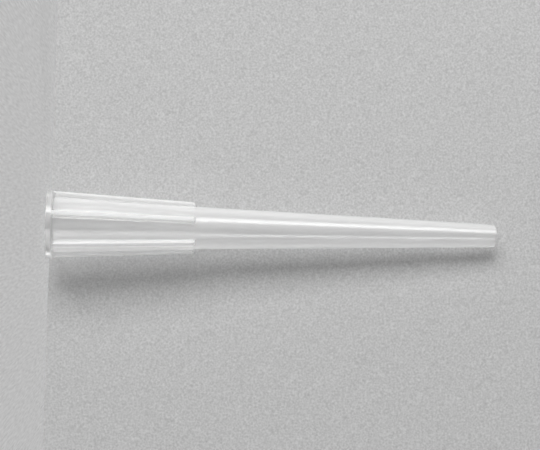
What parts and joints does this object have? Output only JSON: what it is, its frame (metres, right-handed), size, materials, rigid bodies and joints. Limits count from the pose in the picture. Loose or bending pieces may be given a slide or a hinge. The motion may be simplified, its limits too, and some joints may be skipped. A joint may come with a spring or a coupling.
{
  "type": "pipette tip",
  "caption": "Translucent tapered pipette tip with a ribbed collar, a press-on socket and a wide open end, standing on its mouth.",
  "frame": {"origin": "middle of the mouth's face", "axes": "+Z along the tip's axis from the mouth to the open end, so the tip stands on its mouth; one rib is 10 degrees from +X"},
  "size_m": [0.0076, 0.0076, 0.05],
  "materials": {
    "polypropylene": "natural unfilled polypropylene, translucent, smooth shaft and slightly frosted collar"
  },
  "bodies": {
    "root": {"tip": "polypropylene"}
  },
  "joints": []
}
